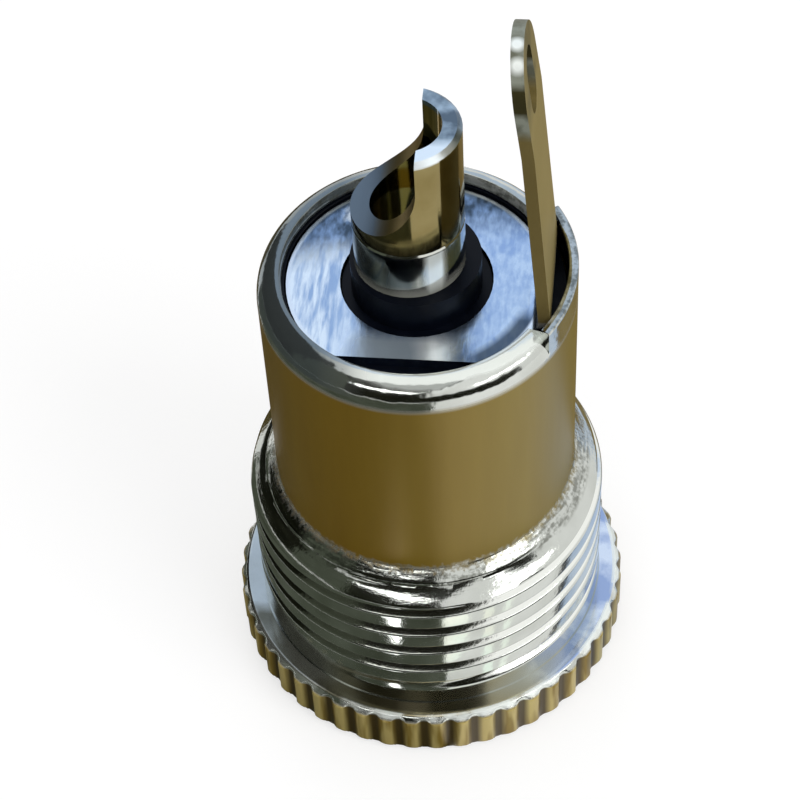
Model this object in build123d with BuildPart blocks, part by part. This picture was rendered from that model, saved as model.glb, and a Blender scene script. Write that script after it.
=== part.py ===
from build123d import *
import os
from math import asin, cos, degrees, radians, sin, sqrt, tan

# Panel jack for a 5.5 mm plug, all sizes in millimetres.
# The axis is Z, the plug goes in at z = 0 through the knurled flange,
# and the solder terminals point up. The side lug stands towards +X.

# Plug that the jack takes
plug_diameter = 5.5
contact_diameter = 2.0

# Turned shell: knurled flange, threaded bushing, plain barrel, thin rear skirt
flange_diameter = 12.5
flange_height = 1.8
knurl_count = 48
knurl_depth = 0.16
knurl_groove_width = 0.46
knurl_root_width = 0.16
knurl_phase = 2.9
knurl_chamfer = 0.22
thread_diameter = 11.0
thread_pitch = 1.0
thread_depth = 0.35
thread_groove_width = 0.44
thread_relief = 0.84
thread_azimuth = -115
bushing_length = 5.2
barrel_wall = 1.01
barrel_length = 7.5
skirt_wall = 0.28
skirt_depth = 2.3
mouth_clearance = 0.2
mouth_length = 1.2
mouth_chamfer = 0.4

# Skirt rolled inward over the rear insulator, left upright beside the lug
roll_radius = 0.8
roll_reach = 0.7
notch_half_angle = 32
upright_height = 1.0

# Clearance between pieces that are stacked into the shell
fit_gap = 0.05

# Rear insulator, moulded in one piece with its collar round the pin
rim_wall = 0.48
collar_margin = 0.29
collar_height = 0.97
ledge_width = 0.27
rim_chamfer = 0.4
rim_above_plate = 0.1
spigot_length = 1.8
ledge_drop = 0.12

# Terminal plate, stamped with its lug bent up
sheet_thickness = 0.34
front_cut = 0.75
bend_radius = 0.3
lug_setback = 0.15
lug_lean = 4.4
lug_tip_lean = 7.0
lug_kink_height = 6.6
lug_eye_height = 8.0
lug_eye_diameter = 3.05
eye_slot_width = 1.2
eye_slot_length = 2.0

# Centre pin with the solder cup behind
pin_recess = 2.4
pin_nose_chamfer = 0.4
shoulder_step = 0.45
shoulder_length = 0.6
stem_step = 0.08
terminal_diameter = 3.18
terminal_offset = 0.16
foot_height = 1.65
foot_groove_depth = 0.05
cup_height = 3.55
cup_wall = 0.54
cup_floor = 1.0
cup_rim_chamfer = 0.14
scoop_offset = 0.42
scoop_radius = 2.0
scoop_drop = 1.1

# Sleeve spring, a slotted band that narrows to a waist on the plug
spring_room = 0.85
spring_thickness = 0.2
spring_ring_length = 0.8
spring_slots = 4
spring_slot_width = 0.6
spring_squeeze = 0.1

# Radii that follow, from the plug and from the terminal outwards
mouth_radius = plug_diameter / 2 + mouth_clearance
chamber_radius = plug_diameter / 2 + spring_room
barrel_radius = chamber_radius + barrel_wall
skirt_radius = barrel_radius - skirt_wall
rim_radius = skirt_radius - fit_gap
recess_radius = rim_radius - rim_wall
plate_radius = recess_radius - fit_gap
terminal_radius = terminal_diameter / 2
stem_radius = terminal_radius - terminal_offset - stem_step
collar_radius = terminal_radius + collar_margin
neck_radius = collar_radius + ledge_width
plate_hole_radius = neck_radius + fit_gap

# Levels that follow, from the front face to the top of the cup
thread_top = flange_height + bushing_length
chamfer_height = thread_diameter / 2 - barrel_radius
shoulder_top = thread_top + chamfer_height
roll_level = shoulder_top + barrel_length
seat_level = roll_level - skirt_depth
rim_top = roll_level + rim_chamfer
plate_top = rim_top - rim_above_plate
plate_bottom = plate_top - sheet_thickness
bush_front = seat_level - spigot_length
collar_top = plate_top + collar_height
pin_top = collar_top + foot_height + cup_height

# Shell body up to the start of the roll
with BuildPart() as shell:
    with BuildSketch(Plane.XZ):
        with BuildLine():
            Polyline(
                (mouth_radius + mouth_chamfer, 0),
                (flange_diameter / 2 - knurl_chamfer, 0),
                (flange_diameter / 2, knurl_chamfer),
                (flange_diameter / 2, flange_height - knurl_chamfer),
                (flange_diameter / 2 - knurl_chamfer, flange_height),
                (thread_diameter / 2, flange_height),
                (thread_diameter / 2, thread_top),
                (barrel_radius, shoulder_top),
                (barrel_radius, roll_level),
                (skirt_radius, roll_level),
                (skirt_radius, seat_level),
                (chamber_radius, seat_level),
                (chamber_radius, mouth_length),
                (mouth_radius, mouth_length),
                (mouth_radius, mouth_chamfer),
                close=True,
            )
        make_face()
    revolve(axis=Axis.Z)
    # Thread groove, from a plain neck behind the flange out through the end chamfer
    groove_level = flange_height + thread_relief
    groove_path = Helix(
        pitch=thread_pitch,
        height=thread_top + chamfer_height / 2 - groove_level,
        radius=thread_diameter / 2,
        center=(0, 0, groove_level),
    ).rotate(Axis.Z, thread_azimuth)
    groove_start = Plane(
        origin=groove_path @ 0,
        x_dir=(cos(radians(thread_azimuth)), sin(radians(thread_azimuth)), 0),
        z_dir=groove_path % 0,
    )
    with BuildSketch(groove_start):
        Polygon(
            (-thread_depth, 0),
            (thread_depth, thread_groove_width),
            (thread_depth, -thread_groove_width),
            align=None,
        )
    sweep(path=groove_path, is_frenet=True, mode=Mode.SUBTRACT)
    # Straight knurl, one tapered groove between each two teeth
    with BuildSketch():
        with PolarLocations(flange_diameter / 2, knurl_count, start_angle=knurl_phase):
            Polygon(
                (0, knurl_groove_width / 2),
                (-knurl_depth, knurl_root_width / 2),
                (-knurl_depth, -knurl_root_width / 2),
                (0, -knurl_groove_width / 2),
                (knurl_depth, 0),
                align=None,
            )
    extrude(amount=flange_height, mode=Mode.SUBTRACT)
    # Rolled lip, all round but for the notch beside the lug
    roll_centre = barrel_radius - roll_radius
    roll_inner = roll_radius - skirt_wall
    roll_stop = degrees(asin((roll_radius - roll_reach) / roll_radius))
    with BuildSketch(Plane.XZ.rotated((0, 0, notch_half_angle))):
        with BuildLine():
            inner_end = (
                roll_centre + roll_inner * sin(radians(roll_stop)),
                roll_level + roll_inner * cos(radians(roll_stop)),
            )
            outer_end = (
                roll_centre + roll_radius * sin(radians(roll_stop)),
                roll_level + roll_radius * cos(radians(roll_stop)),
            )
            inner_middle = (
                roll_centre + roll_inner * cos(radians((90 - roll_stop) / 2)),
                roll_level + roll_inner * sin(radians((90 - roll_stop) / 2)),
            )
            Line((skirt_radius, roll_level), (barrel_radius, roll_level))
            CenterArc((roll_centre, roll_level), roll_radius, 0, 90 - roll_stop)
            Polyline(outer_end, inner_end, inner_middle, (skirt_radius, roll_level))
        make_face()
    revolve(axis=Axis.Z, revolution_arc=360 - 2 * notch_half_angle)
    # Stretch of skirt that stays upright
    with BuildSketch(Plane.XZ.rotated((0, 0, -notch_half_angle))):
        with Locations((barrel_radius - skirt_wall / 2, roll_level + upright_height / 2)):
            Rectangle(skirt_wall, upright_height)
    revolve(axis=Axis.Z, revolution_arc=2 * notch_half_angle)
shell.part.label = "shell"

# Insulator: spigot in the chamber, floor under the plate, rim under the roll
spigot_radius = chamber_radius - fit_gap
lug_offset = plate_radius - lug_setback
lug_start = lug_offset - bend_radius
lug_half_width = sqrt(plate_radius**2 - lug_start**2)
with BuildPart() as insulator:
    with BuildSketch(Plane.XZ):
        with BuildLine():
            Polyline(
                (0, bush_front),
                (spigot_radius, bush_front),
                (spigot_radius, seat_level),
                (rim_radius, seat_level),
                (rim_radius, roll_level),
                (rim_radius - rim_chamfer, rim_top),
                (recess_radius, rim_top),
                (recess_radius, plate_bottom),
                (neck_radius, plate_bottom),
                (neck_radius, plate_top - ledge_drop),
                (collar_radius, plate_top - ledge_drop),
                (collar_radius, collar_top),
                (0, collar_top),
                close=True,
            )
        make_face()
    revolve(axis=Axis.Z)
    # Way through the rim for the bent foot of the lug
    with BuildSketch(Plane.XY.offset(plate_bottom)):
        with Locations((lug_start, 0)):
            Rectangle(
                barrel_radius,
                2 * (lug_half_width + fit_gap),
                align=(Align.MIN, Align.CENTER),
            )
    extrude(amount=rim_top - plate_bottom, mode=Mode.SUBTRACT)
    with BuildSketch(Plane.XY.offset(bush_front)):
        Circle(stem_radius)
    extrude(amount=collar_top - bush_front, mode=Mode.SUBTRACT)
insulator.part.label = "insulator"

# Lug: the bent strip seen from the side, trimmed by its outline seen from outside
eye_level = plate_top + lug_eye_height
kink_level = plate_top + lug_kink_height
kink_x = lug_offset - lug_kink_height * tan(radians(lug_lean))
tip_height = lug_eye_height + lug_eye_diameter / 2 + sheet_thickness - lug_kink_height
tip_x = kink_x - tip_height * tan(radians(lug_tip_lean))
lug_thickness = sheet_thickness / cos(radians(lug_lean))
outer_x = lug_offset + sheet_thickness * tan(radians(lug_lean)) + lug_thickness
with BuildPart() as lug:
    with BuildSketch(Plane.XZ):
        with BuildLine():
            inner_foot = FilletPolyline(
                (lug_start - sheet_thickness, plate_top),
                (lug_offset, plate_top),
                (kink_x, kink_level),
                radius=bend_radius,
            )
            outer_foot = FilletPolyline(
                (lug_start - sheet_thickness, plate_bottom),
                (outer_x, plate_bottom),
                (kink_x + lug_thickness, kink_level),
                radius=bend_radius + sheet_thickness,
            )
            Polyline(
                inner_foot @ 1,
                (tip_x, kink_level + tip_height),
                (tip_x + lug_thickness, kink_level + tip_height),
                outer_foot @ 1,
            )
            Line(inner_foot @ 0, outer_foot @ 0)
        make_face()
    extrude(amount=lug_half_width, both=True)
    with BuildSketch(Plane.YZ):
        with BuildLine():
            Polyline(
                (-lug_half_width, plate_bottom - sheet_thickness),
                (lug_half_width, plate_bottom - sheet_thickness),
                (lug_half_width, plate_top + bend_radius),
                (lug_eye_diameter / 2, eye_level),
                (-lug_eye_diameter / 2, eye_level),
                (-lug_half_width, plate_top + bend_radius),
                close=True,
            )
        make_face()
        with Locations((0, eye_level)):
            Circle(lug_eye_diameter / 2)
        with Locations((0, eye_level)):
            SlotOverall(eye_slot_length, eye_slot_width, rotation=90, mode=Mode.SUBTRACT)
    extrude(amount=barrel_radius, mode=Mode.INTERSECT)

# Terminal plate: disc with two flats and a hole, and the lug
with BuildPart() as terminal_plate:
    with BuildSketch(Plane.XY.offset(plate_bottom)):
        Circle(plate_radius)
        Circle(plate_hole_radius, mode=Mode.SUBTRACT)
        with Locations((lug_start, 0)):
            Rectangle(
                plate_radius,
                2 * plate_radius,
                align=(Align.MIN, Align.CENTER),
                mode=Mode.SUBTRACT,
            )
        with Locations((0, front_cut - plate_radius)):
            Rectangle(
                2 * plate_radius,
                plate_radius,
                align=(Align.CENTER, Align.MAX),
                mode=Mode.SUBTRACT,
            )
    extrude(amount=sheet_thickness)
    add(lug.part)
terminal_plate.part.label = "terminal_plate"

# Centre pin: contact, shoulder against the insulator, stem through it
contact_radius = contact_diameter / 2
shoulder_radius = stem_radius + shoulder_step
shoulder_start = bush_front - shoulder_length
with BuildPart() as centre_pin:
    with BuildSketch(Plane.XZ):
        with BuildLine():
            Polyline(
                (0, pin_recess),
                (contact_radius, pin_recess),
                (contact_radius, shoulder_start),
                (shoulder_radius, shoulder_start),
                (shoulder_radius, bush_front),
                (stem_radius, bush_front),
                (stem_radius, collar_top),
                (0, collar_top),
                close=True,
            )
        make_face()
    revolve(axis=Axis.Z)
    chamfer(centre_pin.edges().group_by(Axis.Z)[0], pin_nose_chamfer)
    # Terminal behind the insulator, with a broken rim
    with BuildSketch(Plane.XY.offset(collar_top)):
        with Locations((-terminal_offset, 0)):
            Circle(terminal_radius)
    extrude(amount=pin_top - collar_top)
    chamfer(centre_pin.edges().group_by(Axis.Z)[-1], cup_rim_chamfer)
    # Turned line between foot and cup
    with BuildSketch(Plane.XZ):
        with Locations((terminal_radius - terminal_offset, collar_top + foot_height)):
            RegularPolygon(foot_groove_depth, 4)
    revolve(axis=Axis((-terminal_offset, 0, 0), (0, 0, 1)), mode=Mode.SUBTRACT)
    # Bore of the solder cup
    with BuildSketch(Plane.XY.offset(collar_top + cup_floor)):
        with Locations((-terminal_offset, 0)):
            Circle(terminal_radius - cup_wall)
    extrude(amount=pin_top - collar_top - cup_floor, mode=Mode.SUBTRACT)
    # Scoop that opens the cup towards -X
    scoop_face = scoop_offset - terminal_offset
    scoop_level = pin_top - scoop_drop
    with BuildSketch(Plane.XZ):
        with BuildLine():
            Polyline(
                (scoop_face, scoop_level),
                (scoop_face, pin_top + scoop_radius),
                (scoop_face - 2 * scoop_radius, pin_top + scoop_radius),
                (scoop_face - 2 * scoop_radius, scoop_level - scoop_radius),
                (scoop_face - scoop_radius, scoop_level - scoop_radius),
            )
            CenterArc((scoop_face - scoop_radius, scoop_level), scoop_radius, 270, 90)
        make_face()
    extrude(amount=terminal_diameter, both=True, mode=Mode.SUBTRACT)
centre_pin.part.label = "centre_pin"

# Sleeve spring: two plain rings, a narrow waist between them, slots from ring to ring
spring_bottom = mouth_length + fit_gap
spring_top = bush_front - fit_gap
waist_level = (spring_bottom + spring_top) / 2
slot_bottom = spring_bottom + spring_ring_length
slot_top = spring_top - spring_ring_length
ring_outer = chamber_radius - fit_gap
ring_inner = ring_outer - spring_thickness
waist_inner = plug_diameter / 2 - spring_squeeze
waist_outer = waist_inner + spring_thickness
with BuildPart() as sleeve_spring:
    with BuildSketch(Plane.XZ):
        with BuildLine():
            Polyline(
                (ring_inner, spring_bottom),
                (ring_outer, spring_bottom),
                (ring_outer, slot_bottom),
                (waist_outer, waist_level),
                (ring_outer, slot_top),
                (ring_outer, spring_top),
                (ring_inner, spring_top),
                (ring_inner, slot_top),
                (waist_inner, waist_level),
                (ring_inner, slot_bottom),
                close=True,
            )
        make_face()
    revolve(axis=Axis.Z)
    with BuildSketch(Plane.XY.offset(slot_bottom)):
        with PolarLocations(ring_outer, spring_slots):
            Rectangle(ring_outer, spring_slot_width)
    extrude(amount=slot_top - slot_bottom, mode=Mode.SUBTRACT)
sleeve_spring.part.label = "sleeve_spring"

os.makedirs("parts", exist_ok=True)
for piece in (shell, insulator, terminal_plate, centre_pin, sleeve_spring):
    export_step(piece.part, "parts/" + piece.part.label + ".step")
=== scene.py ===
from math import cos, radians, sin

import bmesh
import bpy
import numpy as np
from mathutils import Euler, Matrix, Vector


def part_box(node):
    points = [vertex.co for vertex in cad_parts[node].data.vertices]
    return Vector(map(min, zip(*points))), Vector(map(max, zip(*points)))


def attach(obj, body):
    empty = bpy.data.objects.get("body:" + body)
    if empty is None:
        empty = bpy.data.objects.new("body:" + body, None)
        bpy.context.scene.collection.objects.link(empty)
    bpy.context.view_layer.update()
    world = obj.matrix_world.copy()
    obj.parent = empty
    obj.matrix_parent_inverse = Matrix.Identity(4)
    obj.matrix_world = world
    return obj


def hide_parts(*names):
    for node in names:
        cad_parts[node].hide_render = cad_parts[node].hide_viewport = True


# Sizes are in millimetres, as in the part, and MM turns them into metres
MM = 0.001

# Camera that took the photograph, found from the circles of flange, barrel and lip
CAMERA_AT = (5.97, -46.62, 68.48)
CAMERA_TURN = (38.91, 2.28, 5.47)
CAMERA_LENS = 111.24
CAMERA_SHIFT = (0.0054, -0.0036)
CAMERA_NEAREST = 1

# Flange and its knurl
FLANGE_RADIUS = 6.25
FLANGE_HEIGHT = 1.8
KNURL_COUNT = 48
KNURL_DEPTH = 0.16
KNURL_ROOT = 0.08
KNURL_GROOVE = 0.66
KNURL_PHASE = 2.9
KNURL_CHAMFER = 0.22

# Thread, and the chamfer with a small turned step behind it
THREAD_RADIUS = 5.5
THREAD_PITCH = 1.0
THREAD_DEPTH = 0.35
THREAD_GROOVE = 0.44
THREAD_START = 2.64
THREAD_AZIMUTH = -115
THREAD_TOP = 7.0
THREAD_RUN_IN = (-0.02, 0.25)
ROOT_ROUNDING = 0.03
CREST_ROUNDING = 0.05
STEP_LEVEL = 7.45
STEP_DEPTH = 0.07
STEP_WIDTH = 0.05
SHOULDER_TOP = 7.89

# Barrel, skirt, socket and mouth
BARREL_RADIUS = 4.61
SKIRT_WALL = 0.28
SEAT_LEVEL = 13.09
CHAMBER_RADIUS = 3.6
MOUTH_RADIUS = 2.95
MOUTH_LENGTH = 1.2
MOUTH_CHAMFER = 0.4

# Lip rolled inward, upright in the notch beside the lug
ROLL_LEVEL = 15.39
ROLL_RADIUS = 0.8
ROLL_REACH = 0.7
LIP_CURL = 0.1
NOTCH_HALF_ANGLE = 32
UPRIGHT_HEIGHT = 1.0

# Terminal plate and centre pin, whose solder cup stands off the axis
PLATE_TOP = 15.69
TERMINAL_OFFSET = 0.16
FOOT_TOP = 18.31

# Columns of the shell's mesh, a whole number to each knurl tooth
TOOTH_COLUMNS = 10
COLUMNS = KNURL_COUNT * TOOTH_COLUMNS
NOTCH_CORNER = 0.06

# Rows of the shell's mesh, with the thread's as distances from the middle of its groove in pitches
EDGE = 0.03
KNURL_LEVELS = (0.02, 0.06, 0.12, 0.17, 0.2, 0.24, 0.3, 1.5, 1.56, 1.6, 1.63, 1.68, 1.74, 1.78)
GROOVE_ROWS = (0.02, 0.05, 0.12, 0.19, 0.23, 0.26, 0.3, 0.38)
PITCH_ROWS = 2 * len(GROOVE_ROWS) + 1
HELIX_PITCHES = 13
PITCHES_BELOW_START = 4
BARREL_FIRST_ROW = 8.5
BARREL_ROW_STEP = 0.5
ROLL_ROWS = 12
ROLL_END = 0.97
CURL_START = 0.7

# Vertices closer than the first are joined, and edges shorter than the second go
WELD_DISTANCE = 0.002
SLIVER_LENGTH = 0.001
SHARP_ANGLE = 50

# Radius at which noise is drawn out round the axis
TURNED_RADIUS = 1.2

# Tones of the shell as they show on a screen, a pair where one runs into the other
NICKEL = ("b3b6ae", "dcdfda")
# Thread flanks: darker than the crests as painted shade, lighter at the right as painted light
THREAD_FLANK_LIGHT_AND_SHADE = ("a6a89e", "eef0ea")
# Thread grooves: painted shade, a little lighter only at the far left
THREAD_GROOVE_SHADE = ("201e14", "4a504a")
# Wall under the roll and inside the notch: painted shade
UNDER_ROLL_SHADE = "20221e"
# Flange's rear face: painted reflections, pale blue at the right, tan in front, dark at the front and
# left
FLANGE_RIGHT_REFLECTION = ("b4c2de", "fbfdff")
FLANGE_FRONT_REFLECTION = ("6e664a", "e2d6ae")
FLANGE_FRONT_RIGHT_REFLECTION = "b0a991"
FLANGE_DARK_REFLECTION = ("605f50", "828378")
FLANGE_DARK_REFLECTION_FRONT = "36331f"
# Lip's left part: painted shade
LIP_LEFT_SHADE = "7d8688"
# Lip's front: painted highlight
LIP_HIGHLIGHT = "f2f8f2"
FLECK = "5a5c52"
BARREL_LEFT = ("7a5c08", "866a12")
# Barrel's right side: painted reflection, greyer than the golden left
BARREL_RIGHT_REFLECTION = ("7a661e", "877428")
# Knurl's grooves: painted shade
KNURL_GROOVE_SHADE = "44350c"
KNURL_RIDGE = ("866f28", "bca968")
# Scallops on the knurl's chamfer: painted highlights
SCALLOP_HIGHLIGHT = "eef3ee"

# Tones of the terminal plate
# Plate: painted reflection, lit pale blue in front and shaded slate behind
PLATE_LIT = ("a2bce0", "d2e4f6")
PLATE_SCORED = ("a6bedc", "f6fdff")
PLATE_SHADED = ("4a5866", "8ea6c4")
# Painted grey reflection along the plate's front edge
PLATE_GREY_REFLECTION = "a4b2be"
# Painted shade near the lug's base
PLATE_LUG_SHADE = "3c4852"
# Painted highlights on the plate
PLATE_HIGHLIGHT = "f4fafc"
# Painted highlight on the plate's rim
PLATE_RIM_HIGHLIGHT = "f0f6fa"
LUG_FACE = ("9c8c58", "b2a270")
# Lug's narrow edges: painted shade against the lit faces
LUG_EDGE_SHADE = ("675931", "7e7046")
LUG_TINNED = ("6a6c5e", "8e9286")
# A darker band across the lug's tinned tip
LUG_DARK_BAND = "3a3620"
LUG_SMEAR = "5e5c48"
# Painted glints on the lug's edge
LUG_PAINTED_GLINT = "f6fbf6"
LUG_SHEEN = "8a7a48"

# Tones of the centre pin
PIN_NICKEL = ("c8cbc2", "e4e6de")
# Front of the foot: painted reflections, darker at the left, a shine, and grey low down
FOOT_LEFT_REFLECTION = "848880"
FOOT_PAINTED_SHINE = "f4faf6"
FOOT_LOW_REFLECTION = "9a9c92"
CUP_TARNISH = ("77683a", "9a8d62")
# Bore of the cup: painted shade at the left, golden at the right
CUP_BORE_SHADE = ("2a3032", "a38c48")
# Cut edges of the cup: painted reflection, blue-grey at the left, golden at the right
CUP_CUT_EDGE_REFLECTION = ("65717a", "8a763c")
# Crescent on the cup: painted reflection, with a painted highlight in front
CUP_CRESCENT_REFLECTION = ("64727d", "aebfc9")
CUP_CRESCENT_HIGHLIGHT = "f0f8fa"

# Tones of the hidden spring and the black moulding
SPRING = ("8a7a50", "b8b09a")
MOULDING = ("03050a", "090e1a")

# Floor and room
FLOOR_HALF = 120
FLOOR_TONE = (0.42, 0.42, 0.42, 1)
FLOOR_GLOW = 0.62
ROOM_LIGHT = 0.7
WHITE = (1, 1, 1, 1)
BLACK = (0, 0, 0, 1)

# Lamps, all aimed at one point: place, size, watts, and whether the plating mirrors the lamp itself
LAMP_AIM = (0, 0, 10)
LAMPS = (
    ("key", (170, -110, 200), (140, 140), 0.22, False),
    ("back", (-60, 180, 140), (100, 100), 0.06, True),
    ("left_glint", (-19, -74, 66), (60, 10), 0.008, True),
    ("right_glint", (76, -44, 56), (60, 10), 0.008, True),
)

# Paints of the cards: two tones, the scale of the noise between them, and how they glow
CARD_PAINTS = {
    "dark": (("14150e", "24251c"), 60, 1),
    "dim": (("42473b", "5e6358"), 250, 1),
    "olive": (("4a4022", "5e5330"), 250, 1),
    "gold": (("7c6c44", "9a8a60"), 250, 1),
    "sky": (("b8cdee", "dfeaf8"), 250, 1),
    "bright": (("f0fff8", "fffaf0"), 250, 1.5),
    "spark": (("ffffff", "f4f8ff"), 250, 5),
}

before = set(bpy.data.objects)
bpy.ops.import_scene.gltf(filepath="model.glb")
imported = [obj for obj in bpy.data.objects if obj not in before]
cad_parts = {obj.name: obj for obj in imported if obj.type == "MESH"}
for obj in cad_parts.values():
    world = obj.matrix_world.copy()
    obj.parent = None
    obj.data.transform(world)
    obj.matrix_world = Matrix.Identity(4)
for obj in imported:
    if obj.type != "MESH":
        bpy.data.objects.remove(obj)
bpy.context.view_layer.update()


# Shell: one closed grid of columns round the axis and rows along its section


def smooth_step(value, low, high):
    share = np.clip((value - low) / (high - low), 0, 1)
    return share * share * (3 - 2 * share)


def knurl_cut(azimuth):
    """Depth of the knurl at each azimuth, from 0 on a tooth to 1 in a groove."""
    tooth = 360 / KNURL_COUNT
    offset = (azimuth - KNURL_PHASE + tooth / 2) % tooth - tooth / 2
    distance = np.abs(np.radians(offset)) * FLANGE_RADIUS
    return 1 - smooth_step(distance, KNURL_ROOT / 2, KNURL_GROOVE / 2)


def thread_cut(azimuth, level):
    """Depth of the thread's groove, which fades in over its first quarter turn."""
    turns = (azimuth - THREAD_AZIMUTH) / 360
    along = (level - THREAD_START) / THREAD_PITCH - turns
    distance = np.abs(along - np.round(along)) * THREAD_PITCH
    flank = 1 - np.hypot(distance, ROOT_ROUNDING) / (THREAD_GROOVE / 2)
    depth = 0.5 * (flank + np.hypot(flank, CREST_ROUNDING))
    started = smooth_step(turns + np.round(along), *THREAD_RUN_IN)
    return THREAD_DEPTH * depth * started


def knurled_ring(level, azimuth):
    from_edge = np.minimum(level, FLANGE_HEIGHT - level)
    limit = FLANGE_RADIUS - KNURL_CHAMFER + from_edge
    radius = FLANGE_RADIUS - KNURL_DEPTH * knurl_cut(azimuth)
    return np.minimum(limit, radius), np.full_like(azimuth, level)


def threaded_rings(azimuth):
    """Rows that follow the helix, held between the flange and the barrel."""
    phases = sorted([0.0, *GROOVE_ROWS, *(-row for row in GROOVE_ROWS)])
    turns = (azimuth - THREAD_AZIMUTH) / 360
    lowest = THREAD_START - PITCHES_BELOW_START * THREAD_PITCH
    rings = []
    for pitch_number in range(HELIX_PITCHES):
        for phase in phases:
            level = lowest + (pitch_number + phase + turns) * THREAD_PITCH
            level = np.clip(level, FLANGE_HEIGHT, SHOULDER_TOP)
            step = STEP_DEPTH * np.exp(-(((level - STEP_LEVEL) / STEP_WIDTH) ** 2))
            chamfered = np.minimum(THREAD_RADIUS, THREAD_RADIUS + THREAD_TOP - level) - step
            radius = np.minimum(chamfered, THREAD_RADIUS - thread_cut(azimuth, level))
            rings.append((radius, level))
    return rings


def lip_ring(share, wall, azimuth, curl=0.0):
    """A ring of the lip at a share of the roll and a depth into its wall, upright in the notch.

    The curl thickens the end of the roll downwards, but not the upright wall.
    """
    from_notch = np.abs((azimuth + 180) % 360 - 180)
    upright = (from_notch < NOTCH_HALF_ANGLE).astype(float)
    stop = np.arcsin((ROLL_RADIUS - ROLL_REACH) / ROLL_RADIUS)
    angle = share * (np.pi / 2 - stop)
    reach = ROLL_RADIUS - wall - curl
    rolled_radius = BARREL_RADIUS - ROLL_RADIUS + reach * np.cos(angle)
    rolled_level = ROLL_LEVEL + reach * np.sin(angle)
    radius = rolled_radius + upright * (BARREL_RADIUS - wall - rolled_radius)
    level = rolled_level + upright * (ROLL_LEVEL + share * UPRIGHT_HEIGHT - rolled_level)
    return radius, level


def lip_rings(azimuth):
    """Rows over the outside of the lip, round its end and back down its inside."""
    rings = [lip_ring(share, 0, azimuth) for share in np.linspace(0, ROLL_END, ROLL_ROWS)]
    rings.append(lip_ring(1, EDGE, azimuth))
    rings.append(lip_ring(1, SKIRT_WALL - EDGE, azimuth, LIP_CURL))
    for share in np.linspace(ROLL_END, 0, ROLL_ROWS):
        curl = LIP_CURL * smooth_step(share, CURL_START, ROLL_END)
        rings.append(lip_ring(share, SKIRT_WALL, azimuth, curl))
    return rings


def plain_rings(azimuth, *places):
    """Round rows, each at a radius and a level."""
    return [(np.full_like(azimuth, radius), np.full_like(azimuth, level)) for radius, level in places]


def flange_rings(azimuth):
    """Rows from the mouth over the front face and the knurl to the foot of the thread."""
    rings = plain_rings(
        azimuth,
        (MOUTH_RADIUS, MOUTH_LENGTH),
        (MOUTH_RADIUS, MOUTH_CHAMFER + EDGE),
        (MOUTH_RADIUS + EDGE, MOUTH_CHAMFER - EDGE),
        (MOUTH_RADIUS + MOUTH_CHAMFER - EDGE, EDGE),
        (MOUTH_RADIUS + MOUTH_CHAMFER + EDGE, 0),
        (FLANGE_RADIUS - KNURL_CHAMFER - EDGE, 0),
    )
    rings += [knurled_ring(level, azimuth) for level in KNURL_LEVELS]
    return rings + plain_rings(
        azimuth,
        (FLANGE_RADIUS - KNURL_CHAMFER - EDGE, FLANGE_HEIGHT),
        (FLANGE_RADIUS - KNURL_CHAMFER - 2 * EDGE, FLANGE_HEIGHT),
        (THREAD_RADIUS + 2 * EDGE, FLANGE_HEIGHT),
        (THREAD_RADIUS + EDGE, FLANGE_HEIGHT),
    )


def socket_rings(azimuth):
    """Rows down the inside, from the skirt over the seat and the chamber to the mouth."""
    return plain_rings(
        azimuth,
        (BARREL_RADIUS - SKIRT_WALL, SEAT_LEVEL + EDGE),
        (BARREL_RADIUS - SKIRT_WALL - EDGE, SEAT_LEVEL),
        (CHAMBER_RADIUS, SEAT_LEVEL),
        (CHAMBER_RADIUS, MOUTH_LENGTH + EDGE),
        (CHAMBER_RADIUS - EDGE, MOUTH_LENGTH),
        (MOUTH_RADIUS + EDGE, MOUTH_LENGTH),
    )


def shell_columns():
    """Azimuths of the columns, with a close pair at each corner of the notch."""
    azimuth = np.arange(COLUMNS) * 360 / COLUMNS + KNURL_PHASE
    azimuth = np.sort((azimuth - THREAD_AZIMUTH) % 360 + THREAD_AZIMUTH)
    for corner in (-NOTCH_HALF_ANGLE, NOTCH_HALF_ANGLE):
        beyond = np.searchsorted(azimuth, corner)
        azimuth[beyond - 1 : beyond + 1] = corner - NOTCH_CORNER, corner + NOTCH_CORNER
    return azimuth


def grid_faces(row_count, column_count, first, last):
    """Quads of a closed grid, whose helix rows from first to last join one pitch on at the seam."""

    def seam_row(row):
        return min(row + PITCH_ROWS, last) if first <= row <= last else row

    faces = []
    for row in range(row_count):
        above = (row + 1) % row_count
        for column in range(column_count):
            beside = (column + 1) % column_count
            low, high = (seam_row(row), seam_row(above)) if beside == 0 else (row, above)
            corners = ((row, column), (low, beside), (high, beside), (above, column))
            faces.append(tuple(r * column_count + c for r, c in corners))
    return faces


def clean_mesh(name, places, faces):
    """A mesh without doubled places or slivers, smooth but for its sharp edges."""
    mesh = bpy.data.meshes.new(name)
    mesh.from_pydata(places.reshape(-1, 3).tolist(), [], faces)
    work = bmesh.new()
    work.from_mesh(mesh)
    bmesh.ops.remove_doubles(work, verts=work.verts, dist=WELD_DISTANCE * MM)
    bmesh.ops.dissolve_degenerate(work, edges=work.edges, dist=SLIVER_LENGTH * MM)
    bmesh.ops.recalc_face_normals(work, faces=work.faces)
    work.to_mesh(mesh)
    work.free()
    mesh.shade_smooth()
    mesh.set_sharp_from_angle(angle=radians(SHARP_ANGLE))
    return mesh


def add_object(name, data):
    added = bpy.data.objects.new(name, data)
    bpy.context.scene.collection.objects.link(added)
    return added


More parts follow.
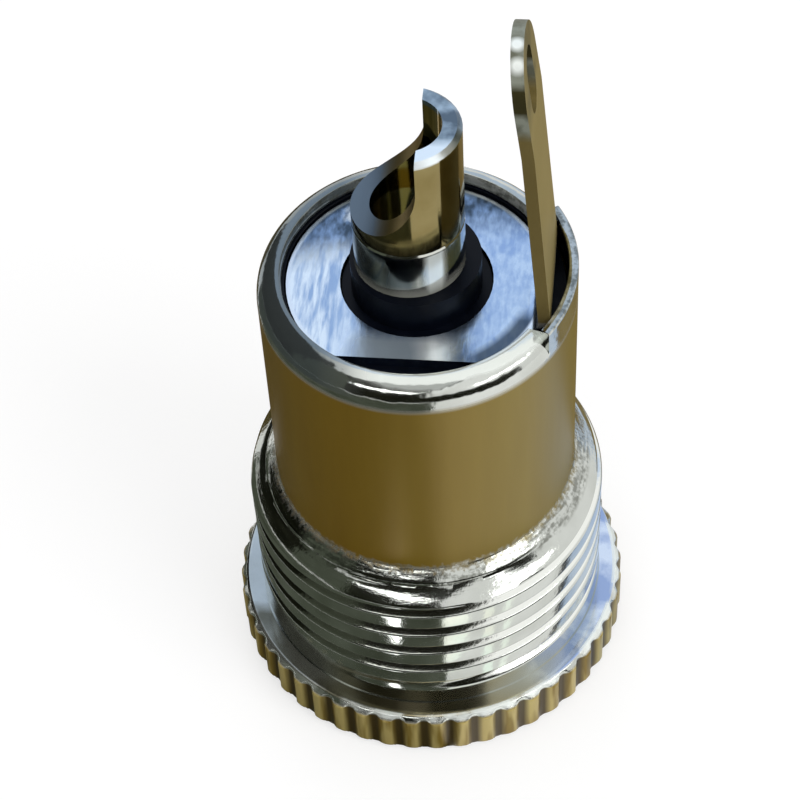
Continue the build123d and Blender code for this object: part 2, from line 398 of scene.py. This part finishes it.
def make_shell():
    azimuth = shell_columns()
    rings = flange_rings(azimuth)
    first = len(rings)
    rings += threaded_rings(azimuth)
    last = len(rings) - 1
    barrel_levels = (SHOULDER_TOP + EDGE, *np.arange(BARREL_FIRST_ROW, ROLL_LEVEL, BARREL_ROW_STEP))
    rings += plain_rings(azimuth, *((BARREL_RADIUS, level) for level in barrel_levels))
    rings += lip_rings(azimuth) + socket_rings(azimuth)
    radius = np.array([r for r, z in rings])
    level = np.array([z for r, z in rings])
    angle = np.radians(azimuth)
    places = np.stack([radius * np.cos(angle), radius * np.sin(angle), level], -1) * MM
    faces = grid_faces(len(rings), len(azimuth), first, last)
    shell = add_object("turned_shell", clean_mesh("turned_shell", places, faces))
    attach(shell, "root")
    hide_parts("shell")
    return shell


# Nodes of the materials


def linear(hex_colour):
    """A screen colour written as six hex digits, as the linear values that shaders take."""
    parts = [int(hex_colour[i : i + 2], 16) / 255 for i in (0, 2, 4)]
    return [p / 12.92 if p <= 0.04045 else ((p + 0.055) / 1.055) ** 2.4 for p in parts] + [1]


def new_material(name):
    material = bpy.data.materials.new(name)
    material.use_nodes = True
    return material, material.node_tree, material.node_tree.nodes["Principled BSDF"]


def set_socket(tree, socket, value):
    """Links an output to a socket, or sets the socket to a constant."""
    if isinstance(value, bpy.types.NodeSocket):
        tree.links.new(value, socket)
    else:
        socket.default_value = value


def add_node(tree, kind, inputs=None, **settings):
    node = tree.nodes.new(kind)
    for key, value in settings.items():
        setattr(node, key, value)
    for key, value in (inputs or {}).items():
        set_socket(tree, node.inputs[key], value)
    return node


def computed(tree, operation, *values, clamp=False):
    inputs = dict(enumerate(values))
    return add_node(tree, "ShaderNodeMath", inputs, operation=operation, use_clamp=clamp).outputs[0]


def times(tree, product, *factors):
    for factor in factors:
        product = computed(tree, "MULTIPLY", product, factor)
    return product


def largest(tree, found, *values):
    for value in values:
        found = computed(tree, "MAXIMUM", found, value)
    return found


def mapped(tree, value, low, high, to_low=0.0, to_high=1.0):
    inputs = {"Value": value, "From Min": low, "From Max": high, "To Min": to_low, "To Max": to_high}
    return add_node(tree, "ShaderNodeMapRange", inputs).outputs["Result"]


def ramp(tree, place, start, end, to_start=0.0, to_end=1.0):
    """A value that changes over a stretch given in millimetres."""
    return mapped(tree, place, start * MM, end * MM, to_start, to_end)


def between(tree, place, low, high, soft):
    """1 inside a range given in millimetres and 0 outside it, with soft ends."""
    rise = ramp(tree, place, low - soft, low + soft)
    fall = ramp(tree, place, high - soft, high + soft, 1.0, 0.0)
    return times(tree, rise, fall)


def shifted(tree, noise, reach, place):
    """A place moved by a noise, up to a reach in millimetres, so that a border isn't straight."""
    return computed(tree, "MULTIPLY_ADD", noise, reach * MM, place)


def mixed(tree, share, first, second):
    node = add_node(tree, "ShaderNodeMix", data_type="RGBA")
    set_socket(tree, node.inputs[0], share)
    set_socket(tree, node.inputs[6], first)
    set_socket(tree, node.inputs[7], second)
    return node.outputs[2]


def toned(tree, share, tones):
    return mixed(tree, share, linear(tones[0]), linear(tones[1]))


def layered(tree, value, layers):
    """A value with other ones laid over it in turn, each with its share."""
    for share, over in layers:
        value = mixed(tree, share, value, linear(over) if isinstance(over, str) else over)
    return value


def vector_node(tree, operation, inputs):
    return add_node(tree, "ShaderNodeVectorMath", inputs, operation=operation).outputs


def flat_vector(tree, x, y):
    return add_node(tree, "ShaderNodeCombineXYZ", {"X": x, "Y": y}).outputs["Vector"]


def object_place(tree):
    return add_node(tree, "ShaderNodeTexCoord").outputs["Object"]


def place_of(tree):
    """Object coordinates, and the distance from the axis."""
    parts = add_node(tree, "ShaderNodeSeparateXYZ", {"Vector": object_place(tree)}).outputs
    radius = vector_node(tree, "LENGTH", {0: flat_vector(tree, parts["X"], parts["Y"])})["Value"]
    return parts["X"], parts["Y"], parts["Z"], radius


def near(tree, centre, reach):
    """1 at a place given in millimetres, falling to 0 at a reach from it."""
    centre = tuple(c * MM for c in centre)
    distance = vector_node(tree, "DISTANCE", {0: object_place(tree), 1: centre})["Value"]
    return ramp(tree, distance, reach, 0.4 * reach)


def normal_of(tree):
    return add_node(tree, "ShaderNodeNewGeometry").outputs["Normal"]


def upward(tree):
    return add_node(tree, "ShaderNodeSeparateXYZ", {"Vector": normal_of(tree)}).outputs["Z"]


def inward(tree, x, y):
    """1 on walls that face the axis, 0 on all others."""
    outward = vector_node(tree, "NORMALIZE", {0: flat_vector(tree, x, y)})["Vector"]
    facing = vector_node(tree, "DOT_PRODUCT", {0: normal_of(tree), 1: outward})["Value"]
    return mapped(tree, facing, -0.4, -0.8)


def noise_at(tree, place, scale, detail):
    inputs = {"Vector": place, "Scale": scale, "Detail": detail}
    return add_node(tree, "ShaderNodeTexNoise", inputs).outputs["Fac"]


def object_noise(tree, stretch, scale, detail=4.0):
    inputs = {"Vector": object_place(tree), "Scale": stretch}
    return noise_at(tree, add_node(tree, "ShaderNodeMapping", inputs).outputs["Vector"], scale, detail)


def turned_noise(tree, scale):
    """Noise drawn out round the axis, like the marks that turning leaves on a cone."""
    x, y, z, radius = place_of(tree)
    outward = vector_node(tree, "NORMALIZE", {0: flat_vector(tree, x, y)})["Vector"]
    round_part = vector_node(tree, "SCALE", {0: outward, "Scale": TURNED_RADIUS * MM})["Vector"]
    across = computed(tree, "SUBTRACT", z, radius)
    lift = add_node(tree, "ShaderNodeCombineXYZ", {"Z": across}).outputs["Vector"]
    return noise_at(tree, vector_node(tree, "ADD", {0: round_part, 1: lift})["Vector"], scale, 3.0)


def bumped(tree, shader, height, strength, distance):
    inputs = {"Height": height, "Strength": strength, "Distance": distance * MM}
    bump = add_node(tree, "ShaderNodeBump", inputs)
    tree.links.new(bump.outputs["Normal"], shader.inputs["Normal"])


def paint(piece, material):
    piece.data.materials.clear()
    piece.data.materials.append(material)


# Shell's plating: nickel on turned brass, satin and golden on barrel and knurl


def shell_noises(tree):
    """Noises by name, with how each is stretched along x, y and z."""
    return {
        "mottle": object_noise(tree, (1, 1, 1), 700),
        "clouds": object_noise(tree, (1, 1, 1), 700, 1.0),
        "dents": object_noise(tree, (1, 1, 1), 1500, 2.0),
        "streaks": object_noise(tree, (1, 1, 0.12), 1400),
        "ridges": object_noise(tree, (1, 1, 0.12), 3000, 2.0),
        "brushed": object_noise(tree, (1, 1, 5), 500),
        "grain": object_noise(tree, (1, 1, 0.6), 8000, 3.0),
        "marks": turned_noise(tree, 5000),
    }


def flange_zones(tree, place, noise):
    """Knurl, painted highlights on its chamfer's scallops, and three parts of the flange's rear face.
    """
    x, y, z, radius = place
    outer = ramp(tree, radius, 5.94, 5.98)
    # Painted highlights on the scallops, patchy and stronger at the right
    highlight_share = times(tree, ramp(tree, x, -4, 0.5, 0.15, 0.9), mapped(tree, noise["mottle"], 0.36, 0.5))
    face = times(tree, ramp(tree, radius, 5.52, 5.54), ramp(tree, z, 1.77, 1.79))
    ragged = shifted(tree, noise["mottle"], 0.8, y)
    return {
        "knurl": times(tree, ramp(tree, z, 1.6, 1.68, 1, 0), outer),
        "scallops": times(tree, ramp(tree, z, 1.62, 1.68), outer, highlight_share),
        "right_face": times(tree, face, ramp(tree, x, 3.5, 4.6)),
        "front_face": times(tree, face, ramp(tree, y, -4.2, -5.2)),
        # Front-left part of the rear face, for a painted dark reflection
        "flange_dark_reflection": times(tree, face, ramp(tree, ragged, -1.7, -2.2), ramp(tree, x, 0.6, -0.6)),
    }


def bushing_zones(tree, place, noise):
    """Flanks and grooves of the thread, the chamfer behind it, and the satin barrel."""
    z, radius = place[2:]
    thread = between(tree, z, 2.1, 7.02, 0.04)
    ragged = shifted(tree, noise["grain"], 0.5, z)
    barrel = ramp(tree, ragged, SHOULDER_TOP + 0.1, SHOULDER_TOP + 0.4)
    return {
        "flank": times(tree, thread, ramp(tree, radius, 5.43, 5.48, 1, 0)),
        "groove": times(tree, thread, ramp(tree, radius, 5.22, 5.32, 1, 0)),
        "chamfer": between(tree, z, STEP_LEVEL - 0.03, SHOULDER_TOP + 0.12, 0.05),
        "cone": between(tree, z, 7.08, SHOULDER_TOP + 0.12, 0.05),
        "barrel": times(tree, barrel, ramp(tree, z, ROLL_LEVEL - 0.2, ROLL_LEVEL + 0.05, 1, 0)),
    }


def lip_zones(tree, place, noise):
    """The lip, its end, its left part and front (painted shade, painted highlight), the notch's crown,
    the wall under the roll.
    """
    x, y, z, radius = place
    facing_in = inward(tree, x, y)
    lip = ramp(tree, z, 15.5, 15.6)
    ragged = shifted(tree, noise["mottle"], 0.5, radius)
    front = times(tree, lip, ramp(tree, y, -0.5, -1.5))
    inner_front = times(tree, front, ramp(tree, ragged, 4.66, 4.56))
    return {
        "lip": lip,
        "lip_edge": times(tree, facing_in, ramp(tree, radius, 4.15, 4.1), ramp(tree, z, 15.7, 15.75)),
        # Left part of the lip, for painted shade
        "lip_left": times(tree, lip, ramp(tree, x, -1.0, -2.5)),
        # Front of the lip, for a painted highlight
        "lip_highlight": times(tree, inner_front, ramp(tree, x, -1.6, -0.6, 0, 0.7)),
        "crown": ramp(tree, z, 16.3, 16.36),
        # Wall under the roll, for painted shade
        "hidden": times(tree, facing_in, ramp(tree, z, 13, 13.2), ramp(tree, radius, 4.15, 4.2)),
    }


def flange_layers(tree, x, noise, zone):
    """Painted reflections on the flange's rear face: blotched pale blue at the right, tan in front,
    dark at the front and left.
    """
    mottle = noise["mottle"]
    right_reflection = toned(tree, mapped(tree, mottle, 0.42, 0.58), FLANGE_RIGHT_REFLECTION)
    front = toned(tree, ramp(tree, x, -1.8, -0.6), FLANGE_FRONT_REFLECTION)
    front = mixed(tree, ramp(tree, x, 0.8, 2.0), front, linear(FLANGE_FRONT_RIGHT_REFLECTION))
    flange_dark_reflection = toned(tree, mapped(tree, mottle, 0.4, 0.6), FLANGE_DARK_REFLECTION)
    flange_dark_reflection = mixed(tree, ramp(tree, x, -3.0, -1.4), flange_dark_reflection, linear(FLANGE_DARK_REFLECTION_FRONT))
    return [
        (zone["right_face"], right_reflection),
        (zone["front_face"], front),
        (times(tree, zone["flange_dark_reflection"], 0.92), flange_dark_reflection),
    ]


def satin_layers(tree, place, noise, zone):
    """Barrel with painted reflection at the right, knurl with painted shade in its grooves, painted
    highlights on scallops.
    """
    x, _, _, radius = place
    left = toned(tree, noise["streaks"], BARREL_LEFT)
    right = toned(tree, noise["streaks"], BARREL_RIGHT_REFLECTION)
    ridge = toned(tree, mapped(tree, noise["ridges"], 0.4, 0.6), KNURL_RIDGE)
    return [
        # Barrel: golden at the left, painted reflection at the right
        (zone["barrel"], mixed(tree, ramp(tree, x, -2.0, 3.0), left, right)),
        # Knurl: painted shade in the grooves
        (zone["knurl"], mixed(tree, ramp(tree, radius, 6.1, 6.22), linear(KNURL_GROOVE_SHADE), ridge)),
        # Scallops: painted highlight
        (zone["scallops"], SCALLOP_HIGHLIGHT),
    ]


def shell_tone(tree, place, noise, zone):
    x = place[0]
    grained = mixed(tree, 0.6, noise["grain"], noise["marks"])
    flecks = mapped(tree, grained, 0.44, 0.58, 0, 0.7)
    flecked = largest(tree, zone["chamfer"], zone["lip_edge"], zone["crown"])
    layers = [
        # Flanks: painted shade, and painted light at the right
        (zone["flank"], toned(tree, ramp(tree, x, 0.5, 2.5), THREAD_FLANK_LIGHT_AND_SHADE)),
        # Grooves: painted shade
        (zone["groove"], toned(tree, ramp(tree, x, -2.5, -4.5), THREAD_GROOVE_SHADE)),
        # Wall under the roll: painted shade
        (zone["hidden"], UNDER_ROLL_SHADE),
        *flange_layers(tree, x, noise, zone),
        # Lip: painted shade at the left
        (zone["lip_left"], LIP_LEFT_SHADE),
        # Lip: painted highlight in front
        (zone["lip_highlight"], LIP_HIGHLIGHT),
        (times(tree, flecked, flecks), FLECK),
        *satin_layers(tree, place, noise, zone),
    ]
    return layered(tree, toned(tree, noise["mottle"], NICKEL), layers)


def shell_relief(tree, z, noise, zone):
    """Height of the fine relief: soft on the flange, drawn out on the barrel, uneven on the lip."""
    scratched = mixed(tree, 0.4, noise["brushed"], noise["grain"])
    relief = mixed(tree, ramp(tree, z, 2.4, 2.8), noise["clouds"], scratched)
    layers = [
        (zone["barrel"], noise["streaks"]),
        (zone["cone"], mixed(tree, 0.5, noise["grain"], noise["marks"])),
        (zone["lip"], mapped(tree, noise["dents"], 0.3, 0.7)),
    ]
    return layered(tree, relief, layers)


def shell_plating():
    """Metal that is bright on thread, flange and lip, and satin on barrel, knurl and scallops.

    The lip's inner edge and the places of painted light, shade and reflection are less metallic, so
    that their tone shows.
    """
    material, tree, shader = new_material("shell_plating")
    place = place_of(tree)
    noise = shell_noises(tree)
    zone = flange_zones(tree, place, noise)
    zone.update(bushing_zones(tree, place, noise))
    zone.update(lip_zones(tree, place, noise))
    satin = largest(tree, zone["barrel"], zone["knurl"], zone["scallops"])
    # The lip's edge, and the painted shade, highlight and reflection, are less metallic
    less_metallic_share = largest(
        tree,
        times(tree, zone["lip_edge"], 0.8),
        zone["lip_highlight"],
        times(tree, zone["lip_left"], 0.22),
        times(tree, zone["flange_dark_reflection"], 0.4),
    )
    tree.links.new(shell_tone(tree, place, noise, zone), shader.inputs["Base Color"])
    tree.links.new(mapped(tree, satin, 0, 1, 0.12, 0.4), shader.inputs["Roughness"])
    mirroring = mapped(tree, largest(tree, satin, less_metallic_share), 0, 1, 1, 0.35)
    tree.links.new(mirroring, shader.inputs["Metallic"])
    bumped(tree, shader, shell_relief(tree, place[2], noise, zone), 0.5, 0.02)
    return material


# Terminal plate: nickel on stamped sheet, duller and golden on the lug


def plate_noises(tree):
    return {
        "clouds": object_noise(tree, (1, 1, 1), 420),
        "patches": object_noise(tree, (1, 1, 1), 1500),
        "scores": object_noise(tree, (1, 0.15, 1), 5000, 3.0),
        "scratches": object_noise(tree, (1, 0.35, 1), 7000, 3.0),
    }


def plate_zones(tree, place, noise):
    """Patches of the plate's upper side, with cloudy borders, and its rim; all but the scored part are
    painted light and shade.
    """
    x, y, _, radius = place
    slanted = computed(tree, "MULTIPLY_ADD", x, -0.25, y)
    ragged = shifted(tree, noise["clouds"], 1.2, x)
    front_edge = times(tree, ramp(tree, y, -1.9, -2.4), mapped(tree, upward(tree), 0.5, 0.8))
    # Painted highlights: along the front edge, and a spot behind at the left
    white = times(tree, front_edge, between(tree, ragged, 1.0, 1.8, 0.35))
    spot = near(tree, (-1.85, 2.4, PLATE_TOP), 0.6)
    spot = times(tree, spot, mapped(tree, noise["patches"], 0.44, 0.54))
    # Painted shade near the lug's base
    corner = times(tree, ramp(tree, radius, 3.1, 3.35), ramp(tree, x, 1.4, 2.0))
    corner = times(tree, corner, ramp(tree, y, -0.9, -1.4))
    return {
        # Painted reflection: lit in front, shaded behind
        "lit": ramp(tree, shifted(tree, noise["clouds"], 1.5, slanted), 3.0, 1.7),
        "scored": ramp(tree, x, -1.2, -2.4),
        # Painted grey reflection along the front edge
        "grey": times(tree, front_edge, between(tree, ragged, -0.9, 1.7, 0.3)),
        "corner": times(tree, corner, 0.85),
        "white": largest(tree, times(tree, white, 0.9), spot),
        # Painted highlight on the rim
        "rim": ramp(tree, radius, 3.6, 3.68),
    }


def sheet_tone(tree, noise, zone):
    """Painted reflection: slate shade behind and pale blue light in front, with finely scored metal at
    the left.
    """
    fine = mapped(tree, mixed(tree, 0.5, noise["scratches"], noise["patches"]), 0.38, 0.62)
    scored = toned(tree, mapped(tree, noise["scores"], 0.38, 0.6), PLATE_SCORED)
    lit = mixed(tree, zone["scored"], toned(tree, fine, PLATE_LIT), scored)
    layers = [
        (zone["lit"], lit),
        (zone["grey"], PLATE_GREY_REFLECTION),
        (zone["corner"], PLATE_LUG_SHADE),
        (zone["white"], PLATE_HIGHLIGHT),
        (zone["rim"], PLATE_RIM_HIGHLIGHT),
    ]
    return layered(tree, toned(tree, fine, PLATE_SHADED), layers)


def lug_edges(tree):
    """1 on the lug's narrow edges, 0 on its two broad faces."""
    across = add_node(tree, "ShaderNodeSeparateXYZ", {"Vector": normal_of(tree)}).outputs["X"]
    return mapped(tree, computed(tree, "ABSOLUTE", across), 0.7, 0.5)


def lug_tone(tree, z, noise):
    """Golden faces and edges in painted shade, a tinned tip with a darker band, and two painted glints
    on its edge.
    """
    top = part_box("terminal_plate")[1][2] / MM
    tip = ramp(tree, z, top - 2.3, top - 1.9)
    # A darker band across the tinned tip
    dark_band = between(tree, z, top - 1.4, top - 0.65, 0.1)
    tinned = toned(tree, mapped(tree, noise["patches"], 0.42, 0.58), LUG_TINNED)
    tinned = mixed(tree, dark_band, tinned, linear(LUG_DARK_BAND))
    # Edges in painted shade, tinned at the tip
    edge_shade_tone = mixed(tree, tip, toned(tree, noise["clouds"], LUG_EDGE_SHADE), tinned)
    smear = times(tree, tip, mapped(tree, noise["clouds"], 0.5, 0.58, 0.3, 0.7))
    face_tone = mixed(tree, smear, toned(tree, noise["clouds"], LUG_FACE), linear(LUG_SMEAR))
    edges = lug_edges(tree)
    # Painted glints on the edge
    glints = largest(tree, near(tree, (2.9, -0.3, 25.18), 0.27), near(tree, (2.95, -0.83, 24.9), 0.29))
    layers = [(edges, edge_shade_tone), (times(tree, glints, edges), LUG_PAINTED_GLINT)]
    return layered(tree, face_tone, layers)


def plate_plating():
    material, tree, shader = new_material("plate_plating")
    place = place_of(tree)
    noise = plate_noises(tree)
    zone = plate_zones(tree, place, noise)
    lug = ramp(tree, place[2], 15.8, 16.1)
    tone = mixed(tree, lug, sheet_tone(tree, noise, zone), lug_tone(tree, place[2], noise))
    # The lug, the painted highlights and the painted grey reflection are less metallic
    less_metallic_share = largest(tree, lug, zone["white"], times(tree, zone["grey"], 0.7))
    tree.links.new(tone, shader.inputs["Base Color"])
    tree.links.new(mapped(tree, lug, 0, 1, 0.2, 0.42), shader.inputs["Roughness"])
    tree.links.new(mapped(tree, less_metallic_share, 0, 1, 1, 0.4), shader.inputs["Metallic"])
    shader.inputs["Specular Tint"].default_value = linear(LUG_SHEEN)
    bumped(tree, shader, noise["scratches"], 0.3, 0.01)
    return material


# Centre pin: bright nickel on its foot, tarnished golden on the solder cup


def foot_zones(tree, x, y, z):
    """Painted reflections on the front of the foot: darker at its left, an upright shine, and a grey
    band above the collar.
    """
    foot = ramp(tree, z, FOOT_TOP - 0.05, FOOT_TOP - 0.12)
    foot = times(tree, foot, ramp(tree, y, 0.2, -0.2))
    return {
        "left": times(tree, foot, ramp(tree, x, -0.2, -0.6)),
        "shine": times(tree, foot, between(tree, x, 0.45, 0.95, 0.1)),
        "low_reflection": times(tree, foot, ramp(tree, z, FOOT_TOP - 1.2, FOOT_TOP - 1.7)),
    }


def cup_zones(tree, x, y, z):
    """The cup, its bore, the cut edges of its wall, and the crescent on top."""
    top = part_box("centre_pin")[1][2] / MM
    moved = computed(tree, "ADD", x, TERMINAL_OFFSET * MM)
    from_axis = vector_node(tree, "LENGTH", {0: flat_vector(tree, moved, y)})["Value"]
    cup = ramp(tree, z, FOOT_TOP, FOOT_TOP + 0.05)
    facing_up = mapped(tree, upward(tree), 0.1, 0.25)
    return {
        "cup": cup,
        "bore": times(tree, cup, ramp(tree, from_axis, 1.06, 1.1, 1, 0)),
        "cut": times(tree, cup, facing_up, ramp(tree, from_axis, 1.0, 1.06)),
        "crescent": ramp(tree, z, top - 0.2, top - 0.12),
    }


def pin_tone(tree, x, y, mottle, foot, cup):
    # Crescent: painted reflection, with a painted highlight in front
    crescent = toned(tree, mapped(tree, mottle, 0.42, 0.6), CUP_CRESCENT_REFLECTION)
    crescent = mixed(tree, ramp(tree, y, -0.45, -0.8), crescent, linear(CUP_CRESCENT_HIGHLIGHT))
    layers = [
        # Foot: painted reflections
        (foot["left"], FOOT_LEFT_REFLECTION),
        (foot["shine"], FOOT_PAINTED_SHINE),
        (foot["low_reflection"], FOOT_LOW_REFLECTION),
        (cup["cup"], toned(tree, mottle, CUP_TARNISH)),
        # Bore: painted shade at the left
        (cup["bore"], toned(tree, ramp(tree, x, -0.85, -0.4), CUP_BORE_SHADE)),
        # Cut edges: painted reflection
        (cup["cut"], toned(tree, ramp(tree, x, -1.0, -0.5), CUP_CUT_EDGE_REFLECTION)),
        (cup["crescent"], crescent),
    ]
    return layered(tree, toned(tree, mottle, PIN_NICKEL), layers)


def pin_plating():
    """Metal with fine turning lines, rougher on the cup's cut edges."""
    material, tree, shader = new_material("pin_plating")
    x, y, z = place_of(tree)[:3]
    lines = object_noise(tree, (0.1, 0.1, 1), 3500)
    mottle = object_noise(tree, (1, 1, 1), 1100)
    foot = foot_zones(tree, x, y, z)
    cup = cup_zones(tree, x, y, z)
    roughness = largest(tree, mapped(tree, mottle, 0.3, 0.7, 0.06, 0.12), times(tree, cup["cut"], 0.35))
    # The painted shine and the painted reflection low on the foot are less metallic
    less_metallic_share = largest(tree, foot["shine"], foot["low_reflection"])
    tree.links.new(pin_tone(tree, x, y, mottle, foot, cup), shader.inputs["Base Color"])
    tree.links.new(roughness, shader.inputs["Roughness"])
    tree.links.new(mapped(tree, less_metallic_share, 0, 1, 1, 0.4), shader.inputs["Metallic"])
    bumped(tree, shader, lines, 0.15, 0.005)
    return material


def spring_bronze():
    """Plated spring sheet, seen only through the mouth."""
    material, tree, shader = new_material("spring_bronze")
    mottle = object_noise(tree, (1, 1, 1), 800)
    tree.links.new(toned(tree, mottle, SPRING), shader.inputs["Base Color"])
    tree.links.new(mapped(tree, mottle, 0.3, 0.7, 0.2, 0.35), shader.inputs["Roughness"])
    shader.inputs["Metallic"].default_value = 1
    return material


def black_moulding():
    material, tree, shader = new_material("black_moulding")
    speckle = object_noise(tree, (1, 1, 1), 2500)
    tree.links.new(toned(tree, speckle, MOULDING), shader.inputs["Base Color"])
    tree.links.new(mapped(tree, speckle, 0.3, 0.7, 0.28, 0.45), shader.inputs["Roughness"])
    shader.inputs["Specular IOR Level"].default_value = 0.12
    return material


# Floor, room, lamps and camera


def seen_white(tree):
    """1 for rays that see the background directly, by reflection or through glass."""
    path = add_node(tree, "ShaderNodeLightPath").outputs
    seen = computed(tree, "ADD", path["Is Camera Ray"], path["Is Glossy Ray"])
    return computed(tree, "ADD", seen, path["Is Transmission Ray"], clamp=True)


def make_floor():
    half = FLOOR_HALF * MM
    corners = [(-half, -half, 0), (half, -half, 0), (half, half, 0), (-half, half, 0)]
    mesh = bpy.data.meshes.new("floor")
    mesh.from_pydata(corners, [], [(0, 1, 2, 3)])
    floor = add_object("floor", mesh)
    material, tree, shader = new_material("pale_floor")
    shader.inputs["Base Color"].default_value = FLOOR_TONE
    shader.inputs["Roughness"].default_value = 1
    shader.inputs["Specular IOR Level"].default_value = 0
    shader.inputs["Emission Color"].default_value = WHITE
    tree.links.new(times(tree, seen_white(tree), FLOOR_GLOW), shader.inputs["Emission Strength"])
    paint(floor, material)


def make_world():
    world = bpy.data.worlds.new("studio")
    world.use_nodes = True
    bpy.context.scene.world = world
    tree = world.node_tree
    background = tree.nodes["Background"]
    background.inputs["Color"].default_value = WHITE
    strength = mapped(tree, seen_white(tree), 0, 1, ROOM_LIGHT, 1)
    tree.links.new(strength, background.inputs["Strength"])


def make_lamp(name, place, size, watts, mirrored_too):
    light = bpy.data.lights.new(name, "AREA")
    light.shape = "RECTANGLE"
    light.size, light.size_y = (side * MM for side in size)
    light.energy = watts
    lamp = add_object(name, light)
    lamp.location = Vector(place) * MM
    aim = Vector(LAMP_AIM) * MM - lamp.location
    lamp.rotation_euler = aim.to_track_quat("-Z", "Y").to_euler()
    lamp.visible_glossy = mirrored_too


def camera_turn():
    return Euler([radians(a) for a in CAMERA_TURN], "XYZ")


def make_camera():
    data = bpy.data.cameras.new("camera")
    data.sensor_fit = "HORIZONTAL"
    data.lens = CAMERA_LENS
    data.shift_x, data.shift_y = CAMERA_SHIFT
    data.clip_start = CAMERA_NEAREST * MM
    camera = add_object("camera", data)
    camera.location = Vector(CAMERA_AT) * MM
    camera.rotation_euler = camera_turn()
    bpy.context.scene.camera = camera


# Cards that only the plating sees, as beside a real studio shot of bright metal


def card_paint(name, tones, scale, glow):
    """Paint that shows in the plating as its two tones are written, where its glow is 1."""
    material, tree, shader = new_material(name + "_card")
    weave = mapped(tree, object_noise(tree, (1, 1, 1), scale), 0.35, 0.65)
    tree.links.new(toned(tree, weave, tones), shader.inputs["Emission Color"])
    shader.inputs["Emission Strength"].default_value = glow
    shader.inputs["Base Color"].default_value = BLACK
    shader.inputs["Roughness"].default_value = 1
    shader.inputs["Specular IOR Level"].default_value = 0
    return material


def make_card(name, corners, material):
    mesh = bpy.data.meshes.new(name)
    mesh.from_pydata([Vector(c) * MM for c in corners], [], [tuple(range(len(corners)))])
    card = add_object(name, mesh)
    paint(card, material)
    card.visible_camera = False
    card.visible_diffuse = False
    card.visible_shadow = False
    card.visible_transmission = False


def lying(points, level):
    """Corners of a card that lies just over the floor."""
    return [(x, y, level) for x, y in points]


def standing(first, second, low, high):
    """Corners of an upright card over a line on the floor."""
    return [(*first, low), (*second, low), (*second, high), (*first, high)]


def mirrored(azimuth, level):
    """Place on the floor that the photographed crest shows at an azimuth and a level."""
    view = camera_turn().to_matrix() @ Vector((0, 0, -1))
    outward = Vector((cos(radians(azimuth)), sin(radians(azimuth)), 0))
    bounced = view - 2 * view.dot(outward) * outward
    place = THREAD_RADIUS * outward - bounced * level / bounced.z
    return place.x, place.y


def shown(*places):
    """Corners of a card that the crest shows between these azimuths and levels."""
    return [mirrored(azimuth, level) for azimuth, level in places]


def card_shapes():
    """Paint and corners of each card: on the floor, upright round the jack, and as glints."""
    table = [(-90, -90), (21, -90)] + shown((-79, 12), (-79, 1), (175, 1)) + [(-90, 60)]
    left_back = [(-4.5, 6.2), (0, 7.2), (0, 60), (-60, 60), (-12, 5)]
    right_back = [(5.5, 6.5), (18, 5), (40, 40), (0, 40)]
    corner = [(12, -80, 5), (16, -80, 65), (76, -80, 160), (60, -80, 188), (12, -80, 188)]
    leaning = [(-120, 90, 30), (120, 90, 30), (120, 40, 180), (-120, 40, 180)]
    right = shown((-40, 2), (-30, 8)) + [(90, 20), (90, 120), (0, 120), (3, 9)]
    right_edge = shown((-41, 2), (-38.5, 2), (-28.5, 8), (-33, 8))
    spark = shown((-96, 4.2), (-94, 4.2), (-93, 6.8), (-99, 6.8))
    patch = shown((-79.5, 3), (-77, 3), (-71, 4.4), (-71, 6.9), (-79.5, 6.9))
    first_streak = shown((-67, 1.5), (-64, 1.5), (-62, 7), (-65.5, 7))
    second_streak = shown((-62, 1.5), (-60.5, 1.5), (-55, 7), (-57.5, 7))
    return {
        "table_card": ("dim", lying(table, 0.03)),
        "left_card": ("dim", standing((-65, -90), (-65, -20), 5, 110)),
        "far_left_card": ("dark", standing((-65, -20), (-65, 90), 5, 130)),
        "olive_card": ("olive", lying(left_back, 0.04)),
        "gold_card": ("gold", lying(right_back, 0.06)),
        "front_card": ("dark", standing((-110, -80), (12, -80), 5, 188)),
        "corner_card": ("dark", corner),
        "horizon_card": ("dark", standing((12, -90), (95, -40), 2, 38)),
        "back_card": ("sky", leaning),
        "right_card": ("sky", lying(right, 0.04)),
        "right_edge_card": ("dark", lying(right_edge, 0.05)),
        "spark_card": ("spark", lying(spark, 0.05)),
        "patch_card": ("bright", lying(patch, 0.05)),
        "first_streak_card": ("bright", lying(first_streak, 0.05)),
        "second_streak_card": ("bright", lying(second_streak, 0.05)),
    }


def make_cards():
    paints = {name: card_paint(name, *values) for name, values in CARD_PAINTS.items()}
    for name, (paint_name, corners) in card_shapes().items():
        make_card(name, corners, paints[paint_name])


make_camera()
make_world()
make_floor()
for lamp_values in LAMPS:
    make_lamp(*lamp_values)
make_cards()

paint(make_shell(), shell_plating())
paint(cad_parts["insulator"], black_moulding())
paint(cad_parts["terminal_plate"], plate_plating())
paint(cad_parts["centre_pin"], pin_plating())
paint(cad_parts["sleeve_spring"], spring_bronze())

bpy.context.scene.view_settings.view_transform = "Standard"
